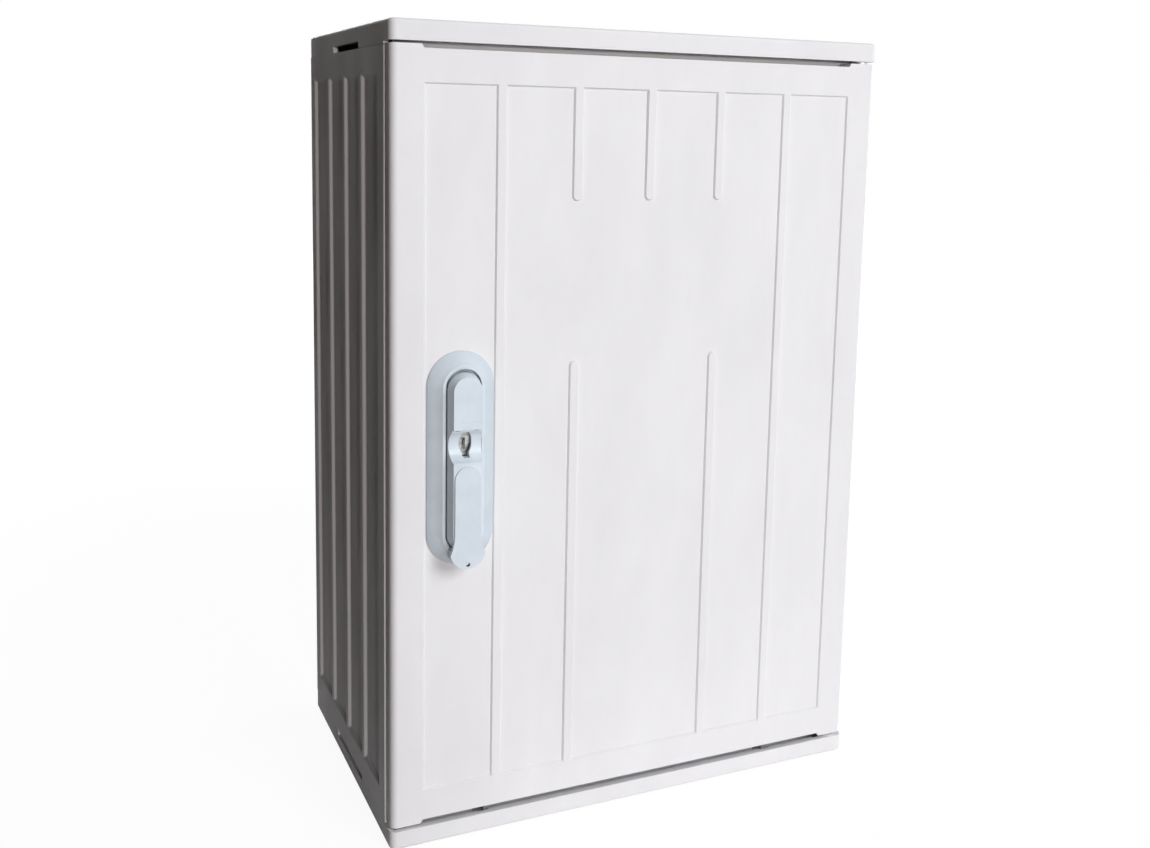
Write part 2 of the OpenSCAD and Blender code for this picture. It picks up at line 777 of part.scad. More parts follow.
module door_panel() {
    height = field_high - field_low;
    groove_low = door_low + edge_wall;
    groove_high = door_high - edge_wall;
    short_end = field_high - short_rib + rib_w / 2;
    long_end = field_low + long_rib - rib_w / 2;
    color(casing_colour)
        difference() {
            union() {
                difference() {
                    translate([0, 0, door_low])
                        linear_extrude(door_h)
                            door_section();
                    front_frame(face_y)
                        translate([0, case_h / 2, 0])
                            pocket(2 * field_half, height, field_depth, field_draft);
                }
                for (s = [-2, 2])
                    door_rib(s * rib_pitch, field_low - skin, field_high + skin);
                for (s = [-1, 0, 1])
                    door_rib(s * rib_pitch, field_high + skin, short_end);
                for (s = [-1, 1])
                    door_rib(s * rib_pitch, field_low - skin, long_end);
            }
            // Hollow back
            span([-door_half + return_t, inner_y, door_low + edge_wall],
                [hinge_x - barrel_r, back_y + skin, door_high - edge_wall]);
            span([hinge_x - barrel_r - skin, inner_y, door_low + edge_wall + boss_len],
                [hinge_x + 2, back_y + skin, door_high - edge_wall - boss_len]);
            for (s = [-2, 2])
                rib_groove(s * rib_pitch, groove_low, groove_high);
            for (s = [-1, 0, 1])
                rib_groove(s * rib_pitch, short_end, groove_high);
            for (s = [-1, 1])
                rib_groove(s * rib_pitch, groove_low, long_end);
            // Vent notches
            translate([0, 0, door_low])
                vent_notch();
            translate([0, 0, door_high])
                mirror([0, 0, 1])
                    vent_notch();
            // Pivot bores
            for (z = [door_low - skin, door_high - pin_reach - skin])
                translate([hinge_x, hinge_y, z])
                    cylinder(h = pin_reach + 2 * skin, r = pin_r + run_gap);
            // Openings for the lock
            lock_frame() {
                translate([0, 0, case_front - skin])
                    cylinder(h = door_cut, r = spindle_r + clear_gap);
                translate([0, -cylinder_drop, case_front - skin])
                    linear_extrude(door_cut)
                        cylinder_profile(clear_gap);
                for (x = [-1, 1], y = case_screw_y)
                    translate([x * case_screw_x, y, case_front - skin])
                        cylinder(h = door_cut, r = small_screw_r + fit_gap);
                for (side = [-1, 1], ear = [-1, 1])
                    translate([guide_x(side) + ear * guide_screw_x(), guide_y(side), case_front - skin])
                        cylinder(h = door_wall, r = small_screw_r);
                rod_slot(1, upper_tip - edge_wall - 4, upper_tip + 8);
                rod_slot(-1, lower_tip - 8, lower_tip + edge_wall + 4);
            }
        }
}

// Clearance cut for a rod, at the right (side 1) or the left of the spindle
module rod_slot(side, low, high) {
    a = side > 0 ? rod_in - addendum - dedendum - rod_gap : -rod_out - rod_gap;
    b = side > 0 ? rod_out + rod_gap : -rod_in + addendum + dedendum + rod_gap;
    span([a, low, rod_back - rod_gap], [b, high, rod_front + rod_gap]);
}

// Euro profile about the plug axis, grown by a clearance
module cylinder_profile(gap) {
    circle(core_r + gap);
    translate([-web_w / 2 - gap, -web_drop + web_w / 2])
        square([web_w + 2 * gap, web_drop - web_w / 2]);
    translate([0, -web_drop + web_w / 2])
        circle(web_w / 2 + gap);
}

// Domed stadium plate: one profile swept straight and round both ends
module escutcheon() {
    module profile() {
        rise = lip_h - plate_edge_h;
        polygon([[slot_r, 0], [plate_r, 0], [plate_r, plate_edge_h], [plate_r - 0.8, plate_edge_h + 0.9],
            [plate_r - 4, plate_edge_h + 0.48 * rise], [slot_r + 3.2, plate_edge_h + 0.88 * rise],
            [slot_r + 2.4, lip_h], [slot_r, lip_h]]);
    }
    color(lock_colour)
        lock_frame()
            difference() {
                union() {
                    for (y = [plate_rise, plate_rise - plate_span])
                        translate([0, y, 0])
                            rotate_extrude($fn = 96)
                                profile();
                    for (s = [0, 1])
                        translate([0, plate_rise, 0])
                            mirror([s, 0, 0])
                                rotate([90, 0, 0])
                                    linear_extrude(plate_span)
                                        profile();
                    linear_extrude(plate_floor)
                        slot_outline(slot_r + skin);
                }
                translate([0, 0, plate_floor])
                    linear_extrude(lip_h)
                        slot_outline(slot_r);
                translate([0, 0, -skin])
                    cylinder(h = plate_floor + 2 * skin, r = spindle_r + run_gap);
                translate([0, -cylinder_drop, -skin])
                    linear_extrude(plate_floor + 2 * skin)
                        cylinder_profile(clear_gap);
                for (x = [-1, 1], y = case_screw_y)
                    translate([x * case_screw_x, y, -skin])
                        cylinder(h = screw_grip + skin, r = small_screw_r);
            }
}

module slot_outline(r) {
    for (y = [plate_rise, plate_rise - plate_span])
        translate([0, y])
            circle(r);
    translate([-r, plate_rise - plate_span])
        square([2 * r, plate_span]);
}

// Box on the back of the door that holds the pinion, the racks and the cylinder
module lock_case() {
    color(zinc_colour)
        lock_frame()
            difference() {
                union() {
                    span([-case_flange, case_low, case_front - case_plate_t],
                        [case_flange, case_high, case_front]);
                    difference() {
                        span([-case_half, case_low, case_back], [case_half, case_high, case_front]);
                        span([-case_half + case_wall, case_low + case_wall, case_back - skin],
                            [case_half - case_wall, case_high - case_wall, case_front - case_plate_t]);
                    }
                    for (p = cover_screws)
                        translate([p[0], p[1], case_back])
                            cylinder(h = case_front - case_back, r = 3.4);
                }
                translate([0, 0, case_back])
                    cylinder(h = case_front - case_back + skin, r = spindle_r + clear_gap);
                translate([0, -cylinder_drop, case_back])
                    linear_extrude(case_front - case_back + skin)
                        cylinder_profile(fit_gap);
                rod_slot(1, case_high - case_wall - skin, case_high + skin);
                rod_slot(-1, case_low - skin, case_low + case_wall + skin);
                for (x = [-1, 1], y = case_screw_y)
                    translate([x * case_screw_x, y, case_front - case_plate_t - skin])
                        cylinder(h = case_plate_t + 2 * skin, r = small_screw_r + fit_gap);
                for (p = cover_screws)
                    translate([p[0], p[1], case_back - skin])
                        cylinder(h = screw_grip + skin, r = small_screw_r);
            }
}

module lock_cover() {
    color(zinc_colour)
        lock_frame()
            difference() {
                span([-case_half, case_low, case_back - cover_plate_t], [case_half, case_high, case_back]);
                translate([0, 0, case_back - 2 * cover_plate_t])
                    cylinder(h = 4 * cover_plate_t, r = tail_r + run_gap);
                translate([0, -cylinder_drop, case_back - 2 * cover_plate_t])
                    linear_extrude(4 * cover_plate_t)
                        cylinder_profile(fit_gap);
                for (p = cover_screws)
                    translate([p[0], p[1], case_back - 2 * cover_plate_t])
                        cylinder(h = 4 * cover_plate_t, r = small_screw_r + fit_gap);
            }
}

module lock_case_screws() {
    color(zinc_colour)
        lock_frame()
            for (x = [-1, 1], y = case_screw_y)
                translate([x * case_screw_x, y, case_front - case_plate_t])
                    mirror([0, 0, 1])
                        screw(small_screw_r, case_plate_t + door_wall + screw_grip - 0.5,
                            small_head_r, small_head_h);
}

module lock_cover_screws() {
    color(zinc_colour)
        lock_frame()
            for (p = cover_screws)
                translate([p[0], p[1], case_back - cover_plate_t])
                    mirror([0, 0, 1])
                        screw(small_screw_r, cover_plate_t + screw_grip - 0.5, small_head_r, small_head_h);
}

module key_cylinder() {
    color(nickel_colour)
        lock_frame()
            translate([0, -cylinder_drop, cylinder_face - cylinder_len])
                difference() {
                    linear_extrude(cylinder_len)
                        cylinder_profile(0);
                    translate([0, 0, -skin])
                        cylinder(h = cylinder_len + 2 * skin, r = plug_r + run_gap);
                }
}

// Plug with its keyway and the tail that drives the cam
module cylinder_plug() {
    keyway_w = 2.2;
    keyway_h = 8.5;
    color(nickel_colour)
        lock_frame()
            translate([0, -cylinder_drop, cylinder_face - cylinder_len])
                difference() {
                    union() {
                        cylinder(h = cylinder_len, r = plug_r);
                        translate([0, 0, -cam_len])
                            cylinder(h = cam_len + eps, r = tail_r);
                    }
                    translate([-keyway_w / 2, -keyway_h / 2, cylinder_len - 8])
                        cube([keyway_w, keyway_h, 9]);
                }
}

module cylinder_cam() {
    color(zinc_colour)
        lock_frame()
            translate([0, -cylinder_drop, cylinder_face - cylinder_len - cam_len])
                difference() {
                    union() {
                        cylinder(h = cam_len - lug_clear, r = plug_r);
                        translate([-3, -cam_reach, 0])
                            cube([6, cam_reach, cam_len - lug_clear]);
                    }
                    translate([0, 0, -skin])
                        cylinder(h = cam_len + 2 * skin, r = tail_r);
                }
}

// Places of the rod guides on the door
function guide_x(side) = side * (rod_in + rod_w / 2);
function guide_y(side) = side > 0 ? upper_tip - guide_inset : lower_tip + guide_inset;
function guide_screw_x() = rod_w / 2 + rod_gap + guide_wall + guide_ear / 2;

// Bridge over a rod with a screw ear at each side
module rod_guide(side) {
    half = rod_w / 2 + rod_gap;
    ear_t = 2.5;
    lock_frame()
        translate([guide_x(side), guide_y(side), 0])
            difference() {
                union() {
                    span([-half - guide_wall, -guide_half, rod_back - rod_gap - guide_wall],
                        [half + guide_wall, guide_half, case_front]);
                    span([-half - guide_wall - guide_ear, -guide_half, case_front - ear_t],
                        [half + guide_wall + guide_ear, guide_half, case_front]);
                }
                span([-half, -guide_half - skin, rod_back - rod_gap],
                    [half, guide_half + skin, rod_front + rod_gap]);
                for (ear = [-1, 1])
                    translate([ear * guide_screw_x(), 0, case_front - 2 * ear_t])
                        cylinder(h = 4 * ear_t, r = small_screw_r + fit_gap);
            }
}

module upper_rod_guide() color(lock_colour) rod_guide(1);

module lower_rod_guide() color(lock_colour) rod_guide(-1);

module guide_screws() {
    ear_t = 2.5;
    color(zinc_colour)
        lock_frame()
            for (side = [-1, 1], ear = [-1, 1])
                translate([guide_x(side) + ear * guide_screw_x(), guide_y(side), case_front - ear_t])
                    mirror([0, 0, 1])
                        screw(small_screw_r, ear_t + door_wall - skin - 0.2,
                            small_head_r, small_head_h);
}

// Rack tooth that points to the pinion from the right
module rack_tooth(y) {
    slope = tan(pressure);
    half = tooth_pitch / 4 - backlash / 2;
    polygon([[rod_in + eps, y - half - dedendum * slope], [rod_in + eps, y + half + dedendum * slope],
        [pitch_r - addendum, y + half - addendum * slope],
        [pitch_r - addendum, y - half + addendum * slope]]);
}

// Rod at the right of the spindle, its rack reaching below the pinion
module right_rod(tip) {
    first = -floor(rod_tail / tooth_pitch);
    last = floor(6.5 / tooth_pitch);
    translate([0, 0, rod_back])
        linear_extrude(rod_t) {
            translate([rod_in, -rod_tail])
                square([rod_w, tip + rod_tail]);
            for (i = [first : last])
                rack_tooth((i + 0.5) * tooth_pitch);
        }
}

module upper_lock_rod() color(zinc_colour) lock_frame() right_rod(upper_tip);

module lower_lock_rod() color(zinc_colour) lock_frame() rotate([0, 0, 180]) right_rod(-lower_tip);

function involute(angle) = tan(angle) - angle * PI / 180;

// Half angle of an involute tooth at one radius
function tooth_half(r) =
    90 / pinion_teeth - backlash / 2 / pitch_r * 180 / PI
    + (involute(pressure) - involute(acos(min(1, pitch_r * cos(pressure) / r)))) * 180 / PI;

module pinion_outline() {
    base_r = pitch_r * cos(pressure);
    root_r = pitch_r - dedendum;
    tip_r = pitch_r + addendum;
    radii = [for (i = [0 : 4]) base_r + (tip_r - base_r) * i / 4];
    polygon([for (i = [0 : pinion_teeth - 1], p = concat(
            [[root_r, -tooth_half(base_r)]],
            [for (r = radii) [r, -tooth_half(r)]],
            [for (k = [4 : -1 : 0]) [radii[k], tooth_half(radii[k])]],
            [[root_r, tooth_half(base_r)]]))
        let (a = i * 360 / pinion_teeth + p[1])
        p[0] * [cos(a), sin(a)]]);
}

module rod_pinion() {
    color(nickel_colour)
        lock_frame()
            translate([0, 0, rod_back])
                linear_extrude(rod_t)
                    difference() {
                        pinion_outline();
                        square(square_w, center = true);
                    }
}

// Spindle with a square for the pinion and a tongue for the handle's pivot
module lock_spindle() {
    color(nickel_colour)
        lock_frame()
            difference() {
                union() {
                    translate([0, 0, rod_front])
                        cylinder(h = spindle_top - rod_front, r = spindle_r);
                    translate([-square_w / 2, -square_w / 2, rod_back])
                        cube([square_w, square_w, rod_t + eps]);
                    translate([0, 0, case_back - cover_plate_t])
                        cylinder(h = rod_back - case_back + cover_plate_t + eps, r = tail_r);
                    span([-tongue_half, -tongue_w / 2, spindle_top - eps],
                        [tongue_half, tongue_w / 2, pivot_z]);
                    translate([-tongue_half, 0, pivot_z])
                        rotate([0, 90, 0])
                            cylinder(h = 2 * tongue_half, r = tongue_r);
                }
                translate([-handle_r, 0, pivot_z])
                    rotate([0, 90, 0])
                        cylinder(h = 2 * handle_r, r = pivot_r + run_gap);
            }
}

module handle_pin() {
    half = handle_top_r - 0.5;
    color(nickel_colour)
        lock_frame()
            translate([-half, 0, pivot_z])
                rotate([0, 90, 0])
                    cylinder(h = 2 * half, r = pivot_r);
}

// Drafted bar with round ends that the handle and its cover are cut from
module handle_bar() {
    rotate([90, 0, 0])
        linear_extrude(-body_end)
            polygon([[-handle_r, handle_low], [handle_r, handle_low],
                [handle_top_r, handle_high], [-handle_top_r, handle_high]]);
    for (y = [0, body_end])
        translate([0, y, handle_low])
            cylinder(h = handle_t, r1 = handle_r, r2 = handle_top_r);
}

// Finger pad: round top, waist and a flared round tip
module pad_outline() {
    top = scoop_low - 2.5 - pad_w / 2;
    tip_r = 13.2;
    tip = -handle_reach + tip_r;
    corner = tip - 2.2;
    corner_half = sqrt(pow(tip_r, 2) - pow(tip - corner, 2));
    flare = corner + 15;
    steps = 8;
    side = [for (i = [0 : steps])
        let (s = i / steps)
        [pad_w / 2 + (corner_half - pad_w / 2) * s * s, flare + (corner - flare) * s]];
    translate([0, top])
        circle(pad_w / 2);
    polygon(concat([[-pad_w / 2, top], [pad_w / 2, top]], side,
        [for (i = [steps : -1 : 0]) [-side[i][0], side[i][1]]]));
    intersection() {
        translate([0, tip])
            circle(tip_r);
        translate([-tip_r, tip - tip_r])
            square([2 * tip_r, corner - tip + tip_r + eps]);
    }
}

// Grooves that guide the sliding cover, or with no gap the cover's hooks
module cover_hooks(low, high, gap) {
    for (s = [0, 1])
        mirror([s, 0, 0]) {
            span([6.2 - gap, low, cover_z - 2 - gap], [8 + gap, high, cover_z + cover_gap + eps]);
            span([6.2 - gap, low, cover_z - 2 - gap], [9 + gap, high, cover_z - 1 + gap]);
        }
}

module handle() {
    color(lock_colour)
        lock_frame()
            difference() {
                union() {
                    handle_bar();
                    translate([0, 0, handle_high - 1.5])
                        linear_extrude(pad_h + 1.5)
                            pad_outline();
                }
                // Seat and guides of the sliding cover
                span([-slot_r, scoop_mid, cover_z], [slot_r, slot_r, pad_high]);
                cover_hooks(scoop_top - skin, 6.4, 0.2);
                // Scoop and key hole
                translate([-slot_r, scoop_mid, handle_high - scoop_depth + scoop_r])
                    rotate([0, 90, 0])
                        cylinder(h = 2 * slot_r, r = scoop_r, $fn = 96);
                translate([0, -cylinder_drop + key_gap_rise, handle_low - skin])
                    linear_extrude(handle_t + 2 * skin) {
                        scale([key_gap_w, key_gap_h])
                            circle(d = 1);
                        translate([-key_notch_w / 2, -key_gap_h / 2 - key_notch])
                            square([key_notch_w, key_gap_h / 2 + key_notch]);
                    }
                // Pocket and bore of the pivot
                span([-tongue_half - 0.3, -pocket_half, handle_low - skin],
                    [tongue_half + 0.3, pocket_half, pivot_z + tongue_r + 0.3]);
                translate([-handle_top_r + 0.5, 0, pivot_z])
                    rotate([0, 90, 0])
                        cylinder(h = handle_top_w - 1, r = pivot_r);
                // Seal hole in the tip
                translate([0, -handle_reach + 3.2, handle_high - 2])
                    cylinder(h = pad_h + 4, r = 1.5);
            }
}

module cylinder_cover() {
    color(lock_colour)
        lock_frame()
            difference() {
                union() {
                    intersection() {
                        handle_bar();
                        span([-slot_r, scoop_top, cover_z + cover_gap], [slot_r, slot_r, pad_high]);
                    }
                    cover_hooks(-5, 6, 0);
                }
                // Grip line across the cover
                translate([-slot_r, scoop_top + 5.5, handle_high - 0.4])
                    cube([2 * slot_r, 0.7, 1]);
            }
}

roof();
base();
left_side();
right_side();
back_wall();
wall_screws();
roof_screws();
base_screws();
upper_hinge_pin();
lower_hinge_pin();
upper_rail();
lower_rail();
rail_screws();
meter_board();
board_screws();
cable_plate();
cable_grommets();
cable_plate_screws();
door_panel();
escutcheon();
lock_case();
lock_cover();
lock_case_screws();
lock_cover_screws();
key_cylinder();
upper_rod_guide();
lower_rod_guide();
guide_screws();
upper_lock_rod();
lower_lock_rod();
lock_spindle();
rod_pinion();
handle();
handle_pin();
cylinder_cover();
cylinder_plug();
cylinder_cam();
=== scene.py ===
import math

import bmesh
import bpy
from mathutils import Matrix, Vector


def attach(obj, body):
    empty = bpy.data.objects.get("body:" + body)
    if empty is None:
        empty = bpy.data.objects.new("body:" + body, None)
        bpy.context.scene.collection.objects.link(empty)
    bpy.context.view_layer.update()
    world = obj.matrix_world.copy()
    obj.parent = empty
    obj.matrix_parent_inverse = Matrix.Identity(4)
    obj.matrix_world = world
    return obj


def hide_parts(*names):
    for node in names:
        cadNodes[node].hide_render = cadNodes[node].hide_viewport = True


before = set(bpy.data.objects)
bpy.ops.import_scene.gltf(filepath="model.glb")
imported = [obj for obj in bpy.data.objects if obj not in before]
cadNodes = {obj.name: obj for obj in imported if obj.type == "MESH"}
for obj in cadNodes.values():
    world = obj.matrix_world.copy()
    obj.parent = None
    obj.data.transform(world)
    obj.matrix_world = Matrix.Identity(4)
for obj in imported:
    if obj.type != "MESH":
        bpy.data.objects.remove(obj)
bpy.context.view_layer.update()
scene = bpy.context.scene
print("cabinet frame loaded:", len(cadNodes), "nodes")


# node trees: nodes stand in a grid, in the order they are made
nodeGrid = {"corner": (-1900, 400), "step": (230, -260), "rows": 3}
noiseSpan = (0.3, 0.7)  # where most of a noise lies


def addNode(tree, kind, label, **settings):
    node = tree.nodes.new(kind)
    node.label = label
    cell = divmod(len(tree.nodes), nodeGrid["rows"])
    node.location = [start + count * step for start, count, step in zip(nodeGrid["corner"], cell, nodeGrid["step"])]
    for key, value in settings.items():
        setattr(node, key, value)
    return node


def wire(tree, source, outName, target, inName):
    tree.links.new(source.outputs[outName], target.inputs[inName])


def startFinish(name):
    material = bpy.data.materials.new(name)
    material.use_nodes = True
    tree = material.node_tree
    shader = next(n for n in tree.nodes if n.type == "BSDF_PRINCIPLED")
    coords = addNode(tree, "ShaderNodeTexCoord", "place on the piece")
    return material, tree, shader, coords


def stretchedCoords(tree, coords, stretch):  # pattern drawn out along one way
    mapping = addNode(tree, "ShaderNodeMapping", "stretch")
    mapping.inputs["Scale"].default_value = stretch
    wire(tree, coords, "Object", mapping, "Vector")
    return mapping


def noiseNode(tree, source, outName, label, pattern):  # pattern: scale, detail, roughness
    noise = addNode(tree, "ShaderNodeTexNoise", label)
    for inName, value in zip(("Scale", "Detail", "Roughness"), pattern):
        noise.inputs[inName].default_value = value
    wire(tree, source, outName, noise, "Vector")
    return noise


def rampNode(tree, source, outName, label, stops, colours):
    ramp = addNode(tree, "ShaderNodeValToRGB", label)
    for element, stop, colour in zip(ramp.color_ramp.elements, stops, colours):
        element.position, element.color = stop, (*colour, 1)
    wire(tree, source, outName, ramp, "Fac")
    return ramp.outputs["Color"]


def rangeNode(tree, source, outName, label, toSpan, fromSpan=noiseSpan):
    span = addNode(tree, "ShaderNodeMapRange", label)
    for inName, value in zip(("From Min", "From Max", "To Min", "To Max"), (*fromSpan, *toSpan)):
        span.inputs[inName].default_value = value
    wire(tree, source, outName, span, "Value")
    return span


def bumpNode(tree, source, outName, label, relief, under=None):  # relief: depth in metres, strength
    bump = addNode(tree, "ShaderNodeBump", label)
    for inName, value in zip(("Distance", "Strength"), relief):
        bump.inputs[inName].default_value = value
    wire(tree, source, outName, bump, "Height")
    if under:
        wire(tree, under, "Normal", bump, "Normal")
    return bump


def blendNode(tree, factor, factorOut, first, second, label):  # of a colour or a colour socket each
    mix = addNode(tree, "ShaderNodeMix", label, data_type="RGBA")
    wire(tree, factor, factorOut, mix, 0)
    for socket, value in ((6, first), (7, second)):  # the two colour inputs
        if isinstance(value, tuple):
            mix.inputs[socket].default_value = (*value, 1)
        else:
            tree.links.new(value, mix.inputs[socket])
    return mix.outputs[2]  # the colour result


def vectorNode(tree, source, outName, label, operation, other=None):
    node = addNode(tree, "ShaderNodeVectorMath", label, operation=operation)
    if other:
        node.inputs[1].default_value = other
    wire(tree, source, outName, node, 0)
    return node


def dressShader(tree, shader, colour, bump, gloss):
    tree.links.new(colour, shader.inputs["Base Color"])
    wire(tree, bump, "Normal", shader, "Normal")
    wire(tree, gloss, "Result", shader, "Roughness")


def tinted(colour, tint):
    return tuple(channel * tint for channel in colour)


# finishes
polyester = {
    "pale": (0.815, 0.805, 0.822), "shade": (0.775, 0.765, 0.782), "toneStops": (0.30, 0.68),
    "flow": (26, 5, 0.55), "flowStretch": (1.0, 1.0, 0.35),
    "fibre": (0.70, 0.69, 0.70), "strand": (420, 3, 0.6), "strandStretch": (1, 1, 0.08),
    "strandShows": (0.62, 0.80), "strandShare": (0.0, 0.22),
    "wave": (38, 2, 0.4), "waveRelief": (0.0006, 0.35), "peel": (850, 2, 0.5), "peelRelief": (0.00010, 0.55),
    "gloss": (0.40, 0.54), "specular": 0.02,
}


def polyesterFinish(name, spec, tint=1.0):
    material, tree, shader, coords = startFinish(name)
    flow = stretchedCoords(tree, coords, spec["flowStretch"])
    cloud = noiseNode(tree, flow, "Vector", "moulding flow", spec["flow"])
    tone = rampNode(tree, cloud, "Fac", "pressed tone", spec["toneStops"],
                    (tinted(spec["shade"], tint), tinted(spec["pale"], tint)))
    drawn = stretchedCoords(tree, coords, spec["strandStretch"])
    strand = noiseNode(tree, drawn, "Vector", "glass strands", spec["strand"])
    strandMask = rangeNode(tree, strand, "Fac", "few strands show", spec["strandShare"], spec["strandShows"])
    body = blendNode(tree, strandMask, "Result", tone, tinted(spec["fibre"], tint), "strands in resin")
    wave = noiseNode(tree, coords, "Object", "shrink waves", spec["wave"])
    peel = noiseNode(tree, coords, "Object", "orange peel", spec["peel"])
    slow = bumpNode(tree, wave, "Fac", "slow waves", spec["waveRelief"])
    fine = bumpNode(tree, peel, "Fac", "fine peel", spec["peelRelief"], slow)
    gloss = rangeNode(tree, cloud, "Fac", "patchy gloss", spec["gloss"])
    dressShader(tree, shader, body, fine, gloss)
    shader.inputs["Specular IOR Level"].default_value = spec["specular"]
    return material


lockPaint = {
    "pale": (0.665, 0.735, 0.800), "shade": (0.610, 0.680, 0.745), "toneStops": (0.32, 0.66), "drift": (60, 4, 0.5),
    "speck": (1900, 1, 0.5), "speckTone": 0.72, "speckShows": (0.66, 0.78), "speckShare": (0.0, 0.16),
    "grain": (2600, 2, 0.6), "grainRelief": (0.00004, 0.5), "gloss": (0.33, 0.45),
}
# painted shade: a near-black colour on the wall of the seal hole, standing in for the shade deep in it
sealHole = {"axis": (-0.1475, 0.0, 0.2186), "across": (1, 0, 1), "reach": (0.00152, 0.00168),
            "holeShade": (0.045, 0.045, 0.047), "holeShadeShare": (1.0, 0.0)}


def lockFinish(name, spec, tint=1.0, hole=None):
    material, tree, shader, coords = startFinish(name)
    cloud = noiseNode(tree, coords, "Object", "colour drift", spec["drift"])
    tone = rampNode(tree, cloud, "Fac", "moulded tone", spec["toneStops"],
                    (tinted(spec["shade"], tint), tinted(spec["pale"], tint)))
    speck = noiseNode(tree, coords, "Object", "pigment specks", spec["speck"])
    speckMask = rangeNode(tree, speck, "Fac", "rare specks", spec["speckShare"], spec["speckShows"])
    body = blendNode(tree, speckMask, "Result", tone, tinted(spec["shade"], spec["speckTone"]), "specks in plastic")
    if hole:  # painted shade on the wall of the seal hole, for the shade deep in the hole
        away = vectorNode(tree, coords, "Object", "from the hole", "SUBTRACT", hole["axis"])
        flat = vectorNode(tree, away, "Vector", "across the hole", "MULTIPLY", hole["across"])
        radius = vectorNode(tree, flat, "Vector", "radius", "LENGTH")
        inside = rangeNode(tree, radius, "Value", "inside the hole", hole["holeShadeShare"], hole["reach"])
        body = blendNode(tree, inside, "Result", body, hole["holeShade"], "painted shade in the hole")
    grain = noiseNode(tree, coords, "Object", "spark-eroded grain", spec["grain"])
    bump = bumpNode(tree, grain, "Fac", "grain", spec["grainRelief"])
    gloss = rangeNode(tree, cloud, "Fac", "handled gloss", spec["gloss"])
    dressShader(tree, shader, body, bump, gloss)
    return material


platedMetal = {"bloom": (95, 6, 0.62), "toneStops": (0.34, 0.62), "cells": 420, "cellShows": (0.0, 0.9),
               "brushRelief": (0.00003, 0.4)}
nickelPlate = {**platedMetal, "pale": (0.66, 0.64, 0.60), "dark": (0.44, 0.43, 0.40), "gloss": (0.22, 0.36),
               "brush": (2600, 2, 0.5), "brushStretch": (1.0, 0.03, 1.0), "cellShare": (0.0, 0.10)}
zincPlate = {**platedMetal, "pale": (0.60, 0.62, 0.64), "dark": (0.42, 0.44, 0.47), "gloss": (0.34, 0.52),
             "brush": (1100, 2, 0.5), "brushStretch": (1.0, 1.0, 0.06), "cellShare": (0.0, 0.35)}


def metalFinish(name, spec):
    material, tree, shader, coords = startFinish(name)
    shader.inputs["Metallic"].default_value = 1.0
    bloom = noiseNode(tree, coords, "Object", "plating bloom", spec["bloom"])
    tone = rampNode(tree, bloom, "Fac", "plated tone", spec["toneStops"], (spec["dark"], spec["pale"]))
    cells = addNode(tree, "ShaderNodeTexVoronoi", "spangle")
    cells.inputs["Scale"].default_value = spec["cells"]
    wire(tree, coords, "Object", cells, "Vector")
    cellMask = rangeNode(tree, cells, "Distance", "spangle edge", spec["cellShare"], spec["cellShows"])
    body = blendNode(tree, cellMask, "Result", tone, spec["dark"], "spangled plate")
    drawn = stretchedCoords(tree, coords, spec["brushStretch"])
    brush = noiseNode(tree, drawn, "Vector", "brushed lines", spec["brush"])
    bump = bumpNode(tree, brush, "Fac", "brushing", spec["brushRelief"])
    gloss = rangeNode(tree, brush, "Fac", "brushed gloss", spec["gloss"])
    dressShader(tree, shader, body, bump, gloss)
    return material


turnedLook = {
    "pale": (0.66, 0.66, 0.655), "dark": (0.34, 0.34, 0.335), "toneStops": (0.32, 0.66), "bloom": (320, 5, 0.6),
    "axis": (-0.1475, 0.0, 0.3045), "along": (0, 1, 0),  # point on the key axis, and its way
    "rings": {"Scale": 900, "Distortion": 1.5, "Detail": 2}, "ringRelief": (0.00002, 0.3),
    "gloss": (0.18, 0.30), "sweep": 0.8,
}


def turnedFinish(name, spec):
    material, tree, shader, coords = startFinish(name)
    shader.inputs["Metallic"].default_value = 1.0
    shader.inputs["Anisotropic"].default_value = spec["sweep"]
    away = vectorNode(tree, coords, "Object", "from the key axis", "SUBTRACT", spec["axis"])
    around = vectorNode(tree, away, "Vector", "round the key axis", "CROSS_PRODUCT", spec["along"])
    unit = vectorNode(tree, around, "Vector", "turning way", "NORMALIZE")
    wire(tree, unit, "Vector", shader, "Tangent")
    rings = addNode(tree, "ShaderNodeTexWave", "turning rings", wave_type="RINGS", rings_direction="Y")
    for inName, value in spec["rings"].items():
        rings.inputs[inName].default_value = value
    wire(tree, away, "Vector", rings, "Vector")
    bloom = noiseNode(tree, coords, "Object", "plating bloom", spec["bloom"])
    tone = rampNode(tree, bloom, "Fac", "plated tone", spec["toneStops"], (spec["dark"], spec["pale"]))
    body = blendNode(tree, rings, "Fac", tone, spec["dark"], "rings in plate")
    bump = bumpNode(tree, rings, "Fac", "rings", spec["ringRelief"])
    gloss = rangeNode(tree, bloom, "Fac", "worn gloss", spec["gloss"])
    dressShader(tree, shader, body, bump, gloss)
    return material


boardLook = {
    "pale": (0.66, 0.66, 0.62), "shade": (0.58, 0.58, 0.545), "toneStops": (0.3, 0.7), "sheet": (18, 5, 0.6),
    "fleck": (0.47, 0.46, 0.43), "flecks": (760, 2, 0.6), "fleckShows": (0.60, 0.72), "fleckShare": (0.0, 0.5),
    "fleckRelief": (0.00005, 0.4), "gloss": (0.5, 0.64),
}


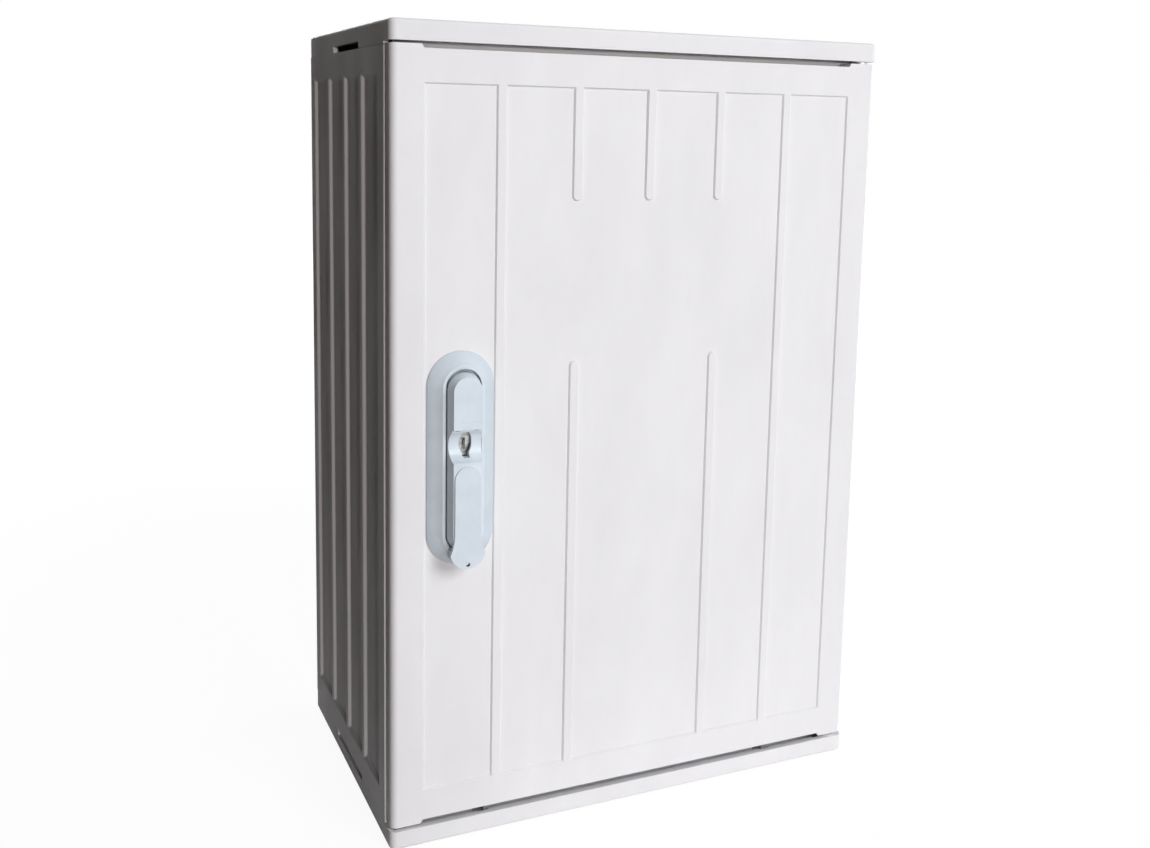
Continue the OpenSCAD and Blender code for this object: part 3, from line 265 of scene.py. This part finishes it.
def boardFinish(name, spec):
    material, tree, shader, coords = startFinish(name)
    cloud = noiseNode(tree, coords, "Object", "sheet tone", spec["sheet"])
    tone = rampNode(tree, cloud, "Fac", "laminate", spec["toneStops"], (spec["shade"], spec["pale"]))
    flecks = noiseNode(tree, coords, "Object", "flecks", spec["flecks"])
    fleckMask = rangeNode(tree, flecks, "Fac", "scattered", spec["fleckShare"], spec["fleckShows"])
    body = blendNode(tree, fleckMask, "Result", tone, spec["fleck"], "flecked laminate")
    bump = bumpNode(tree, flecks, "Fac", "sheet grain", spec["fleckRelief"])
    gloss = rangeNode(tree, cloud, "Fac", "sheet gloss", spec["gloss"])
    dressShader(tree, shader, body, bump, gloss)
    return material


rubberLook = {
    "dark": (0.022, 0.022, 0.024), "dusty": (0.085, 0.083, 0.078), "toneStops": (0.42, 0.78), "dust": (140, 6, 0.65),
    "pores": (1500, 2, 0.5), "poreRelief": (0.00008, 0.5), "gloss": (0.62, 0.82),
}


def rubberFinish(name, spec):
    material, tree, shader, coords = startFinish(name)
    dust = noiseNode(tree, coords, "Object", "dust", spec["dust"])
    tone = rampNode(tree, dust, "Fac", "dusty rubber", spec["toneStops"], (spec["dark"], spec["dusty"]))
    pores = noiseNode(tree, coords, "Object", "pores", spec["pores"])
    bump = bumpNode(tree, pores, "Fac", "pores", spec["poreRelief"])
    gloss = rangeNode(tree, dust, "Fac", "dull", spec["gloss"])
    dressShader(tree, shader, tone, bump, gloss)
    return material


casingFinish = polyesterFinish("pressedPolyester", polyester)
trayFinish = polyesterFinish("pressedPolyesterTray", {**polyester, "flow": (19, 5, 0.55)}, tint=0.985)
# painted shade: the escutcheon and rod guides take the handle's lock plastic 6.5 % darker, for the shade on the
# escutcheon's slopes
shadedPlateFinish = lockFinish("shadedEscutcheonPlastic", lockPaint, tint=0.935)
leverFinish = lockFinish("handlePlastic", lockPaint, hole=sealHole)
nickelFinish = metalFinish("nickelPlate", nickelPlate)
zincFinish = metalFinish("zincPlate", zincPlate)
turnedNickel = turnedFinish("turnedNickel", turnedLook)
meterBoardFinish = boardFinish("meterBoardLaminate", boardLook)
grommetFinish = rubberFinish("grommetRubber", rubberLook)
print("finishes built:", len(bpy.data.materials))


# pressed, moulded and turned pieces: the solids with soft edges, widths in metres
softPieces = {
    "roof": {"edge": 0.0009, "finish": trayFinish, "body": "cabinet", "slot": "casing"},
    "base": {"edge": 0.0009, "finish": trayFinish, "body": "cabinet", "slot": "casing"},
    "left_side": {"edge": 0.0009, "finish": casingFinish, "body": "cabinet", "slot": "casing"},
    "right_side": {"edge": 0.0009, "finish": casingFinish, "body": "cabinet", "slot": "casing"},
    "back_wall": {"edge": 0.0009, "finish": casingFinish, "body": "cabinet", "slot": "casing"},
    "cable_plate": {"edge": 0.0004, "finish": casingFinish, "body": "cabinet", "slot": "casing"},
    "cable_grommets": {"edge": 0.0006, "finish": grommetFinish, "body": "cabinet", "slot": "rubber"},
    "meter_board": {"edge": 0.0004, "finish": meterBoardFinish, "body": "cabinet", "slot": "board"},
    "upper_rail": {"edge": 0.0004, "finish": zincFinish, "body": "cabinet", "slot": "zinc"},
    "lower_rail": {"edge": 0.0004, "finish": zincFinish, "body": "cabinet", "slot": "zinc"},
    "upper_hinge_pin": {"edge": 0.0003, "finish": zincFinish, "body": "cabinet", "slot": "zinc"},
    "lower_hinge_pin": {"edge": 0.0003, "finish": zincFinish, "body": "cabinet", "slot": "zinc"},
    "door_panel": {"edge": 0.0006, "finish": casingFinish, "body": "door", "slot": "casing"},
    "escutcheon": {"edge": 0.0004, "finish": shadedPlateFinish, "body": "door", "slot": "lock_plastic"},
    "lock_case": {"edge": 0.0003, "finish": zincFinish, "body": "door", "slot": "zinc"},
    "lock_cover": {"edge": 0.0003, "finish": zincFinish, "body": "door", "slot": "zinc"},
    "key_cylinder": {"edge": 0.0003, "finish": turnedNickel, "body": "door", "slot": "nickel"},
    "upper_rod_guide": {"edge": 0.0003, "finish": shadedPlateFinish, "body": "door", "slot": "lock_plastic"},
    "lower_rod_guide": {"edge": 0.0003, "finish": shadedPlateFinish, "body": "door", "slot": "lock_plastic"},
    "upper_lock_rod": {"edge": 0.0002, "finish": zincFinish, "body": "upper_rod", "slot": "zinc"},
    "lower_lock_rod": {"edge": 0.0002, "finish": zincFinish, "body": "lower_rod", "slot": "zinc"},
    "lock_spindle": {"edge": 0.0002, "finish": nickelFinish, "body": "spindle", "slot": "nickel"},
    "rod_pinion": {"edge": 0.0001, "finish": nickelFinish, "body": "spindle", "slot": "nickel"},
    "handle": {"edge": 0.0005, "finish": leverFinish, "body": "handle", "slot": "lock_plastic", "crease": 18},
    "handle_pin": {"edge": 0.0002, "finish": nickelFinish, "body": "handle", "slot": "nickel"},
    "cylinder_cover": {"edge": 0.0005, "finish": leverFinish, "body": "cover", "slot": "lock_plastic"},
    "cylinder_plug": {"edge": 0.0002, "finish": turnedNickel, "body": "plug", "slot": "nickel"},
    "cylinder_cam": {"edge": 0.0003, "finish": zincFinish, "body": "plug", "slot": "zinc"},
}
softening = {"mergeGap": 2e-6, "flatAngle": 0.3, "cornerAngle": 28, "room": 2.1, "segments": 3, "crease": 32}


def mergedShell(mesh):
    shell = bmesh.new()
    shell.from_mesh(mesh)
    bmesh.ops.remove_doubles(shell, verts=shell.verts, dist=softening["mergeGap"])
    return shell


def hasRoom(edge, width):  # a corner whose neighbouring edges are long enough for the rounding
    if len(edge.link_faces) != 2 or edge.calc_face_angle(0) < math.radians(softening["cornerAngle"]):
        return False
    near = [other for vert in edge.verts for other in vert.link_edges]
    return min(other.calc_length() for other in near) > softening["room"] * width


def settle(piece, modifier):  # the modified shape as a plain mesh
    ready = bpy.data.meshes.new_from_object(piece.evaluated_get(bpy.context.evaluated_depsgraph_get()))
    piece.modifiers.remove(modifier)
    piece.data = ready
    return ready


def softEdged(nodeName, spec):
    mesh = cadNodes[nodeName].data.copy()
    mesh.name = nodeName + "Shell"
    if "custom_normal" in mesh.attributes:  # stale once the corners are rounded
        mesh.attributes.remove(mesh.attributes["custom_normal"])
    shell = mergedShell(mesh)
    bmesh.ops.dissolve_limit(shell, angle_limit=math.radians(softening["flatAngle"]), verts=shell.verts,
                             edges=shell.edges)
    weights = shell.edges.layers.float.new("bevel_weight_edge")
    for edge in shell.edges:
        edge[weights] = 1.0 if hasRoom(edge, spec["edge"]) else 0.0
    shell.to_mesh(mesh)
    shell.free()
    mesh.shade_smooth()
    mesh.set_sharp_from_angle(angle=math.radians(spec.get("crease", softening["crease"])))
    piece = bpy.data.objects.new(nodeName + "Piece", mesh)
    scene.collection.objects.link(piece)
    rounding = piece.modifiers.new("softEdges", "BEVEL")
    rounding.width = spec["edge"]
    rounding.segments = softening["segments"]
    rounding.limit_method = "WEIGHT"
    rounding.use_clamp_overlap = True
    rounding.harden_normals = True
    ready = settle(piece, rounding)
    ready.materials.clear()
    ready.materials.append(spec["finish"])
    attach(piece, spec["body"])
    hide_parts(nodeName)
    return piece


for nodeName, spec in softPieces.items():
    piece = softEdged(nodeName, spec)
    print("soft edges:", nodeName, len(piece.data.polygons), "faces")


# screws: pan heads with a hexagon recess, set out by geometry nodes; way is out of the head, side is along a nut
casingScrew = {"body": "cabinet", "side": (1, 0, 0), "shank": 0.0020, "head": 0.0040, "rise": 0.0026}
lockScrew = {"body": "door", "side": (1, 0, 0), "shank": 0.0015, "head": 0.0026, "rise": 0.0020}
railNut = {"size": (0.009, 0.018, 0.003), "level": -0.0095, "edge": 0.0004}
screwLook = {
    "wall_screws": {**casingScrew, "way": (0, 1, 0)},
    "roof_screws": {**casingScrew, "way": None, "side": (0, 1, 0)},  # no way: towards the middle
    "base_screws": {**casingScrew, "way": None, "side": (0, 1, 0)},
    "rail_screws": {**casingScrew, "way": (0, -1, 0)},
    "board_screws": {**casingScrew, "way": (0, -1, 0), "nut": railNut},
    "cable_plate_screws": {**casingScrew, "way": (0, 0, 1)},
    "lock_case_screws": {**lockScrew, "way": (0, 1, 0)},
    "lock_cover_screws": {**lockScrew, "way": (0, 1, 0)},
    "guide_screws": {**lockScrew, "way": (0, 1, 0)},
}
thread = {"pitch": 0.0009, "drop": 0.00022, "start": 0.0007, "plain": 0.0014, "neck": 0.0003,
          "tip": ((0.55, 0.0), (0.8, 0.0004))}  # share of the shank, height over the tip
panHead = {"sides": 36, "hub": 0.42, "crease": 38,  # profiles: shares of the head's radius and rise
           "dome": ((0.96, 0.0), (1.0, 0.10), (1.0, 0.38), (0.965, 0.62), (0.88, 0.84), (0.76, 0.96), (0.64, 1.0)),
           "recess": ((0.56, 1.0), (0.50, 0.94), (0.50, 0.5))}
recessSeeds = {"cabinet": 5, "door": 11}


def islands(nodeName):  # one list of points for each loose solid of a node
    shell = mergedShell(cadNodes[nodeName].data)
    done, found = set(), []
    for first in shell.verts:  # in the mesh's own order, so that every run is the same
        if first in done:
            continue
        done.add(first)
        heap, part = [first], []
        while heap:
            vert = heap.pop()
            part.append(vert.co.copy())
            for edge in vert.link_edges:
                other = edge.other_vert(vert)
                if other not in done:
                    done.add(other)
                    heap.append(other)
        found.append(part)
    shell.free()
    return found


def screwSeats(nodeName, spec):  # seat, way and length of every screw of a node
    seats = []
    for part in islands(nodeName):
        low = Vector(min(p[i] for p in part) for i in range(3))
        high = Vector(max(p[i] for p in part) for i in range(3))
        mid = (low + high) / 2
        way = Vector(spec["way"]) if spec["way"] else Vector((-1 if mid.x > 0 else 1, 0, 0))
        reach = [p.dot(way) for p in part]
        seat = mid + way * (max(reach) - spec["rise"] - mid.dot(way))
        seats.append((seat, way, max(reach) - min(reach) - spec["rise"]))
    return seats


def hexReach(radius, angle):  # edge of a hexagon at one angle
    return radius * math.cos(math.pi / 6) / math.cos((angle % (math.pi / 3)) - math.pi / 6)


def screwLoops(spec, length):  # radius, height and whether six-sided, from the tip to the recess floor
    shank, head, rise = spec["shank"], spec["head"], spec["rise"]
    loops = [(share * shank, up - length, False) for share, up in thread["tip"]]
    for i in range(int((length - thread["plain"]) / thread["pitch"])):
        loops += [(shank, -length + thread["start"] + i * thread["pitch"], False),
                  (shank - thread["drop"], -length + thread["start"] + (i + 0.5) * thread["pitch"], False)]
    loops += [(shank, -thread["neck"], False), (shank, 0.0, False)]
    loops += [(share * head, up * rise, False) for share, up in panHead["dome"]]
    loops += [(share * head, up * rise, True) for share, up in panHead["recess"]]
    return loops


def addNut(shell, nut):
    block = bmesh.ops.create_cube(shell, size=1.0)["verts"]
    bmesh.ops.scale(shell, vec=nut["size"], verts=block)
    bmesh.ops.translate(shell, vec=(0, 0, nut["level"]), verts=block)
    edges = list({edge for vert in block for edge in vert.link_edges})
    bmesh.ops.bevel(shell, geom=edges, offset=nut["edge"], segments=2, affect="EDGES", profile=0.5)


def screwMesh(name, spec, length):
    shell = bmesh.new()
    sides = panHead["sides"]
    rows = []
    for radius, z, sixSided in screwLoops(spec, length):
        row = []
        for step in range(sides):
            angle = 2 * math.pi * step / sides
            reach = hexReach(radius, angle) if sixSided else radius
            row.append(shell.verts.new((reach * math.cos(angle), reach * math.sin(angle), z)))
        rows.append(row)
    for lower, upper in zip(rows, rows[1:]):
        for step in range(sides):
            after = (step + 1) % sides
            shell.faces.new((lower[step], lower[after], upper[after], upper[step]))
    shell.faces.new(list(reversed(rows[0])))
    hub = shell.verts.new((0, 0, panHead["hub"] * spec["rise"]))
    for step in range(sides):
        shell.faces.new((rows[-1][step], rows[-1][(step + 1) % sides], hub))
    if "nut" in spec:
        addNut(shell, spec["nut"])
    bmesh.ops.recalc_face_normals(shell, faces=shell.faces)
    mesh = bpy.data.meshes.new(name)
    shell.to_mesh(mesh)
    shell.free()
    return mesh


def storedNode(tree, label, kind):  # a value kept on the seat points
    node = addNode(tree, "GeometryNodeInputNamedAttribute", label, data_type=kind)
    node.inputs["Name"].default_value = label
    return node


def setOutTree():
    tree = bpy.data.node_groups.new("setOutScrews", "GeometryNodeTree")
    face = tree.interface
    face.new_socket("Seats", in_out="INPUT", socket_type="NodeSocketGeometry")
    sockets = {"patterns": face.new_socket("Screw patterns", in_out="INPUT", socket_type="NodeSocketCollection"),
               "seed": face.new_socket("Recess seed", in_out="INPUT", socket_type="NodeSocketInt"),
               "finish": face.new_socket("Screw finish", in_out="INPUT", socket_type="NodeSocketMaterial")}
    face.new_socket("Screws", in_out="OUTPUT", socket_type="NodeSocketGeometry")
    start = addNode(tree, "NodeGroupInput", "seats")
    kinds = addNode(tree, "GeometryNodeCollectionInfo", "patterns")
    kinds.inputs["Separate Children"].default_value = True
    kinds.inputs["Reset Children"].default_value = True
    wire(tree, start, "Screw patterns", kinds, "Collection")

    upright = addNode(tree, "FunctionNodeAlignRotationToVector", "head out", axis="Z")
    wire(tree, storedNode(tree, "way", "FLOAT_VECTOR"), "Attribute", upright, "Vector")
    sideways = addNode(tree, "FunctionNodeAlignRotationToVector", "nut along the rail", axis="X", pivot_axis="Z")
    wire(tree, upright, "Rotation", sideways, "Rotation")
    wire(tree, storedNode(tree, "side", "FLOAT_VECTOR"), "Attribute", sideways, "Vector")
    chance = addNode(tree, "FunctionNodeRandomValue", "recess turn", data_type="FLOAT")
    chance.inputs[3].default_value = math.pi / 3  # one side of the hexagon at most
    wire(tree, start, "Recess seed", chance, "Seed")
    free = addNode(tree, "ShaderNodeMath", "free to turn", operation="MULTIPLY")
    wire(tree, chance, 1, free, 0)
    wire(tree, storedNode(tree, "free", "FLOAT"), "Attribute", free, 1)
    twist = addNode(tree, "FunctionNodeAxisAngleToRotation", "turned")
    wire(tree, free, 0, twist, "Angle")
    turned = addNode(tree, "FunctionNodeRotateRotation", "recess turned", rotation_space="LOCAL")
    wire(tree, sideways, "Rotation", turned, "Rotation")
    wire(tree, twist, "Rotation", turned, "Rotate By")

    points = addNode(tree, "GeometryNodeMeshToPoints", "seat points")
    wire(tree, start, "Seats", points, "Mesh")
    setOut = addNode(tree, "GeometryNodeInstanceOnPoints", "set out")
    setOut.inputs["Pick Instance"].default_value = True
    wire(tree, points, "Points", setOut, "Points")
    wire(tree, kinds, "Instances", setOut, "Instance")
    wire(tree, storedNode(tree, "kind", "INT"), "Attribute", setOut, "Instance Index")
    wire(tree, turned, "Rotation", setOut, "Rotation")
    real = addNode(tree, "GeometryNodeRealizeInstances", "real")
    wire(tree, setOut, "Instances", real, "Geometry")
    coat = addNode(tree, "GeometryNodeSetMaterial", "coat")
    wire(tree, real, "Geometry", coat, "Geometry")
    wire(tree, start, "Screw finish", coat, "Material")
    out = addNode(tree, "NodeGroupOutput", "screws")
    wire(tree, coat, "Geometry", out, "Screws")
    return tree, {key: socket.identifier for key, socket in sockets.items()}


def seatPoints(name, rows):  # a mesh of bare points that carry the values for each screw
    mesh = bpy.data.meshes.new(name)
    mesh.from_pydata([row["seat"] for row in rows], [], [])
    for label, kind in (("way", "FLOAT_VECTOR"), ("side", "FLOAT_VECTOR"), ("kind", "INT"), ("free", "FLOAT")):
        layer = mesh.attributes.new(label, kind, "POINT")
        for item, row in zip(layer.data, rows):
            setattr(item, "vector" if kind == "FLOAT_VECTOR" else "value", row[label])
    return mesh


screwTree, screwSockets = setOutTree()
for bodyName, seed in recessSeeds.items():
    patterns = bpy.data.collections.new(bodyName + "ScrewPatterns")
    rows = []
    names = [name for name, spec in screwLook.items() if spec["body"] == bodyName]
    for kind, name in enumerate(names):
        spec = screwLook[name]
        seats = screwSeats(name, spec)
        shape = screwMesh(name + "Pattern", spec, seats[0][2])
        patterns.objects.link(bpy.data.objects.new("pattern%02d%s" % (kind, name), shape))
        free = 0.0 if "nut" in spec else 1.0
        rows += [{"seat": seat, "way": way, "side": spec["side"], "kind": kind, "free": free}
                 for seat, way, length in seats]
    screws = bpy.data.objects.new(bodyName + "Screws", seatPoints(bodyName + "ScrewSeats", rows))
    scene.collection.objects.link(screws)
    setter = screws.modifiers.new("setOut", "NODES")
    setter.node_group = screwTree
    setter[screwSockets["patterns"]] = patterns
    setter[screwSockets["seed"]] = seed
    setter[screwSockets["finish"]] = zincFinish
    ready = settle(screws, setter)
    ready.shade_smooth()
    ready.set_sharp_from_angle(angle=math.radians(panHead["crease"]))
    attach(screws, bodyName)
    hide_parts(*names)
    print("screws set out on", bodyName + ":", len(rows))


# stage: white paper, with a dark card at the left that only the bounced light meets
stageLook = {
    "floorSize": 60.0, "paper": (0.80, 0.80, 0.80), "darkCard": (0.04, 0.028, 0.02), "cardEdge": (-0.36, -0.08),
    "cardShare": (0.0, 1.0), "paperSeen": (0.92, 0.92, 0.92), "paperShadow": 0.09,
    "glow": (1.03, 1.11), "glowReach": (0.5, 2.2),  # near and far
}
roomLook = {"dim": (1.0, 0.92, 0.86), "dimStrength": 0.008, "white": (1, 1, 1), "whiteStrength": 1.0}


def seenDirectly(tree):  # 1 for what the camera, gloss or glass shows
    rays = addNode(tree, "ShaderNodeLightPath", "who looks")
    glossy = addNode(tree, "ShaderNodeMath", "camera or glossy", operation="MAXIMUM")
    wire(tree, rays, "Is Camera Ray", glossy, 0)
    wire(tree, rays, "Is Glossy Ray", glossy, 1)
    through = addNode(tree, "ShaderNodeMath", "or glass", operation="MAXIMUM")
    wire(tree, glossy, 0, through, 0)
    wire(tree, rays, "Is Transmission Ray", through, 1)
    return through


def mixToOutput(tree, share, lit, shown, outKind):
    mix = addNode(tree, "ShaderNodeMixShader", "lit or shown")
    wire(tree, share, 0, mix, 0)
    wire(tree, lit, 0, mix, 1)
    wire(tree, shown, 0, mix, 2)
    out = addNode(tree, outKind, "out")
    wire(tree, mix, 0, out, "Surface")


def paperFinish(name, spec):
    material = bpy.data.materials.new(name)
    material.use_nodes = True
    tree = material.node_tree
    tree.nodes.clear()
    seen = seenDirectly(tree)
    share = addNode(tree, "ShaderNodeMath", "keep some shadow", operation="MULTIPLY")
    share.inputs[1].default_value = 1 - spec["paperShadow"]
    wire(tree, seen, 0, share, 0)
    coords = addNode(tree, "ShaderNodeTexCoord", "place on the floor")
    away = vectorNode(tree, coords, "Object", "way from the cabinet", "LENGTH")
    glow = rangeNode(tree, away, "Value", "paler far off", spec["glow"], spec["glowReach"])
    white = addNode(tree, "ShaderNodeEmission", "white paper")
    wire(tree, glow, "Result", white, "Strength")
    parts = addNode(tree, "ShaderNodeSeparateXYZ", "left or right")
    wire(tree, coords, "Object", parts, "Vector")
    card = rangeNode(tree, parts, "X", "dark card at the left", spec["cardShare"], spec["cardEdge"])
    bounce = blendNode(tree, card, "Result", spec["darkCard"], spec["paper"], "bounce tone")
    tone = blendNode(tree, seen, 0, bounce, spec["paperSeen"], "paper tone")
    matt = addNode(tree, "ShaderNodeBsdfDiffuse", "matt paper")
    tree.links.new(tone, matt.inputs["Color"])
    mixToOutput(tree, share, matt, white, "ShaderNodeOutputMaterial")
    return material


def backgroundNode(tree, label, colour, strength):
    node = addNode(tree, "ShaderNodeBackground", label)
    node.inputs["Color"].default_value = (*colour, 1)
    node.inputs["Strength"].default_value = strength
    return node


half = stageLook["floorSize"] / 2
floorMesh = bpy.data.meshes.new("floorSheet")
floorMesh.from_pydata([(-half, -half, 0), (half, -half, 0), (half, half, 0), (-half, half, 0)], [], [(0, 1, 2, 3)])
floorMesh.materials.append(paperFinish("floorPaper", stageLook))
floor = bpy.data.objects.new("floorSheet", floorMesh)
scene.collection.objects.link(floor)

world = bpy.data.worlds.new("studio")
scene.world = world
world.use_nodes = True
room = world.node_tree
room.nodes.clear()
dim = backgroundNode(room, "room light", roomLook["dim"], roomLook["dimStrength"])
white = backgroundNode(room, "white backdrop", roomLook["white"], roomLook["whiteStrength"])
mixToOutput(room, seenDirectly(room), dim, white, "ShaderNodeOutputWorld")

lamps = {
    "keyPanel": {"place": (2.1, -6.0, 3.4), "aim": (0.0, -0.1, 0.28), "size": 3.2, "power": 306,
                 "tint": (0.94, 0.968, 1)},
    "frontFill": {"place": (-0.68, -4.8, 0.8), "aim": (0.0, -0.1, 0.28), "size": 0.4, "power": 75,
                  "tint": (1, 0.945, 0.90)},
    "topPanel": {"place": (0.5, -0.2, 2.4), "aim": (0.1, 0.0, 0.5), "size": 1.6, "power": 8,
                 "tint": (0.98, 0.99, 1)},
    "rightPanel": {"place": (3.6, 0.6, 1.0), "aim": (0.2, 0.0, 0.3), "size": 1.6, "power": 34,
                   "tint": (1, 0.99, 0.98)},
    "backPanel": {"place": (0.7, 3.8, 1.2), "aim": (0.0, 0.1, 0.3), "size": 1.6, "power": 95,
                  "tint": (0.99, 0.99, 1)},
}
for lampName, spec in lamps.items():
    lamp = bpy.data.lights.new(lampName, "AREA")
    lamp.shape = "SQUARE"
    lamp.size = spec["size"]
    lamp.energy = spec["power"]
    lamp.color = spec["tint"]
    holder = bpy.data.objects.new(lampName, lamp)
    holder.location = spec["place"]
    holder.rotation_euler = (Vector(spec["aim"]) - Vector(spec["place"])).to_track_quat("-Z", "Y").to_euler()
    scene.collection.objects.link(holder)

# camera fitted to the photograph's view
view = {"place": (-0.42659, -0.94479, 0.53183), "right": (0.91168619, -0.4103894, 0.02021973),
        "down": (-0.03909429, -0.1356249, -0.98998865), "ahead": (0.40902314, 0.9017685, -0.13969123),
        "lens": 38.670, "sensor": 36.0, "shift": (-0.00629, -0.10928), "clip": (0.05, 50)}
camera = bpy.data.cameras.new("photoView")
camera.sensor_fit = "HORIZONTAL"
camera.sensor_width = view["sensor"]
camera.lens = view["lens"]
camera.shift_x, camera.shift_y = view["shift"]
camera.clip_start, camera.clip_end = view["clip"]
eye = bpy.data.objects.new("photoView", camera)
turn = Matrix((Vector(view["right"]), -Vector(view["down"]), -Vector(view["ahead"]))).transposed()
eye.matrix_world = Matrix.Translation(view["place"]) @ turn.to_4x4()
scene.collection.objects.link(eye)
scene.camera = eye
scene.view_settings.view_transform = "Standard"
print("stage, light and camera set")
